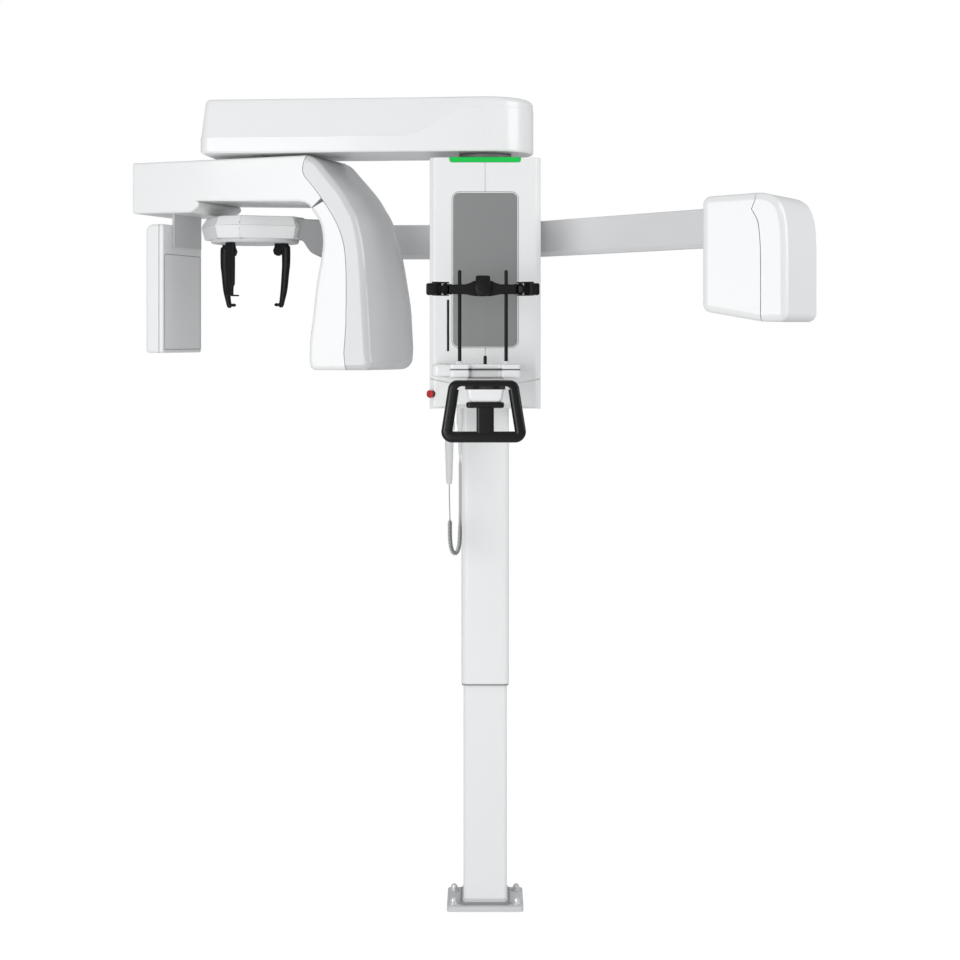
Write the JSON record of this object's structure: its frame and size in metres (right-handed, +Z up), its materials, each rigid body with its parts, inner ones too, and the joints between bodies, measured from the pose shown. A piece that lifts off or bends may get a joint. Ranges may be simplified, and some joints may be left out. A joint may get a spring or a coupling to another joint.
{
  "type": "panoramic xray machine",
  "caption": "Dental panoramic X-ray machine with telescopic column, overhead beam, rotor, cephalometric arm with head holder and X-ray head, temple support and curly-cord switch.",
  "frame": {"origin": "on the floor under the column's axis, at the middle of the base plate's underside", "axes": "+Z up the column, -Y towards the patient, +X towards the cephalometric X-ray head"},
  "size_m": [1.8452, 1.1043, 2.264],
  "materials": {
    "gloss_white": "smooth gloss white moulded plastic",
    "satin_white": "satin white plastic and powder coat",
    "light_grey": "satin light grey plastic",
    "grey_gloss": "gloss pale grey plastic",
    "mirror": "grey mirror glass",
    "black_plastic": "satin black plastic",
    "dark_plastic": "dark grey plastic",
    "green_lens": "green lit lens",
    "red_button": "gloss red plastic",
    "steel": "machined and folded steel",
    "aluminium": "satin aluminium"
  },
  "bodies": {
    "base": {"base_plate": "satin_white", "anchor_bolt_1": "steel", "anchor_bolt_2": "steel", "anchor_bolt_3": "steel", "anchor_bolt_4": "steel", "mast": "gloss_white", "lift_actuator": "dark_plastic"},
    "carriage": {"lift_rod": "aluminium", "column_sleeve": "gloss_white", "front_cover": "gloss_white", "lower_cover": "gloss_white", "rear_cover": "gloss_white", "carriage_frame": "steel", "pivot_head": "aluminium", "mirror": "mirror", "status_light": "green_lens", "chin_shelf": "gloss_white", "bite_peg": "black_plastic", "left_rod": "black_plastic", "right_rod": "black_plastic", "handle_frame": "black_plastic", "shelf_block": "gloss_white", "hand_switch": "satin_white", "switch_holder": "satin_white", "cord_strain_relief": "satin_white", "switch_lead": "satin_white", "curly_cord": "satin_white", "ceph_arm_left": "aluminium", "ceph_arm_right": "aluminium", "holder_lower_shell": "gloss_white", "holder_upper_shell": "gloss_white", "ceph_head_front_cover": "gloss_white", "ceph_head_rear_cover": "gloss_white", "ceph_tube_tank": "steel"},
    "temple_support": {"temple_bar": "black_plastic"},
    "temple_knob": {"temple_knob": "black_plastic"},
    "left_temple_arm": {"left_temple_arm": "black_plastic"},
    "right_temple_arm": {"right_temple_arm": "black_plastic"},
    "exposure_button": {"exposure_button": "light_grey"},
    "emergency_stop_button": {"emergency_stop_button": "red_button"},
    "overhead_beam": {"beam_tray": "gloss_white", "beam_cover": "gloss_white", "swing_shaft": "steel", "slide_rails": "steel"},
    "rotor_slide": {"slide_plate": "aluminium"},
    "rotor": {"rotor_shaft": "steel", "rotor_housing": "gloss_white", "rotor_bottom_cover": "gloss_white", "tube_inner_cover": "gloss_white", "tube_outer_cover": "grey_gloss", "rotor_frame": "steel", "xray_tank": "steel", "sensor_bracket": "light_grey", "sensor_housing": "gloss_white", "sensor_face": "light_grey", "sensor_panel": "dark_plastic"},
    "ear_holder": {"ear_plate": "gloss_white"},
    "left_ear_arm": {"left_ear_arm": "black_plastic"},
    "right_ear_arm": {"right_ear_arm": "black_plastic"},
    "nasion_support": {"nasion_support": "black_plastic"}
  },
  "joints": [
    {"name": "column_lift", "type": "slide", "parent": "base", "child": "carriage", "axis": [0, 0, 1], "range_m": [-0.58, 0.2]},
    {"name": "beam_swing", "type": "hinge", "parent": "carriage", "child": "overhead_beam", "pos_m": [0, -0.07, 2.1], "axis": [0, 0, 1], "range_deg": [0, 40]},
    {"name": "rotor_slide", "type": "slide", "parent": "overhead_beam", "child": "rotor_slide", "axis": [-0.9959, 0.0906, 0], "range_m": [-0.03, 0.02]},
    {"name": "rotor_turn", "type": "hinge", "parent": "rotor_slide", "child": "rotor", "pos_m": [-0.64023, 0.0448, 2.1], "axis": [0, 0, 1], "range_deg": [-70, 20]},
    {"name": "temple_height", "type": "slide", "parent": "carriage", "child": "temple_support", "axis": [0, 0, 1], "range_m": [-0.12, 0.03]},
    {"name": "temple_knob_turn", "type": "hinge", "parent": "temple_support", "child": "temple_knob", "pos_m": [-0.006, -0.41, 1.7328], "axis": [0, -1, 0], "range_deg": [0, 90]},
    {"name": "left_temple_turn", "type": "hinge", "parent": "temple_support", "child": "left_temple_arm", "pos_m": [-0.104, -0.4, 1.7295], "axis": [0, 0, 1], "range_deg": [0, 25]},
    {"name": "right_temple_turn", "type": "hinge", "parent": "temple_support", "child": "right_temple_arm", "pos_m": [0.092, -0.4, 1.7295], "axis": [0, 0, 1], "range_deg": [-25, 0]},
    {"name": "exposure_press", "type": "slide", "parent": "carriage", "child": "exposure_button", "axis": [0, 0, -1], "range_m": [0, 0.003], "stiffness_N_per_m": 300},
    {"name": "emergency_stop_press", "type": "slide", "parent": "carriage", "child": "emergency_stop_button", "axis": [0.7071, 0.7071, 0], "range_m": [0, 0.0025], "stiffness_N_per_m": 800},
    {"name": "ear_holder_turn", "type": "hinge", "parent": "carriage", "child": "ear_holder", "pos_m": [-0.663, 0.075, 1.877], "axis": [0, 0, 1], "range_deg": [0, 90]},
    {"name": "left_ear_slide", "type": "slide", "parent": "ear_holder", "child": "left_ear_arm", "axis": [0.8788, -0.4772, 0], "range_m": [-0.006, 0.03]},
    {"name": "right_ear_slide", "type": "slide", "parent": "ear_holder", "child": "right_ear_arm", "axis": [0.8788, -0.4772, 0], "range_m": [-0.03, 0.006]},
    {"name": "nasion_slide", "type": "slide", "parent": "ear_holder", "child": "nasion_support", "axis": [0.4772, 0.8788, 0], "range_m": [0, 0.04]}
  ],
  "couplings": [
    {"joint": "left_temple_turn", "follows": "temple_knob_turn", "ratio": 0.27778},
    {"joint": "right_temple_turn", "follows": "temple_knob_turn", "ratio": -0.27778},
    {"joint": "right_ear_slide", "follows": "left_ear_slide", "ratio": -1}
  ]
}
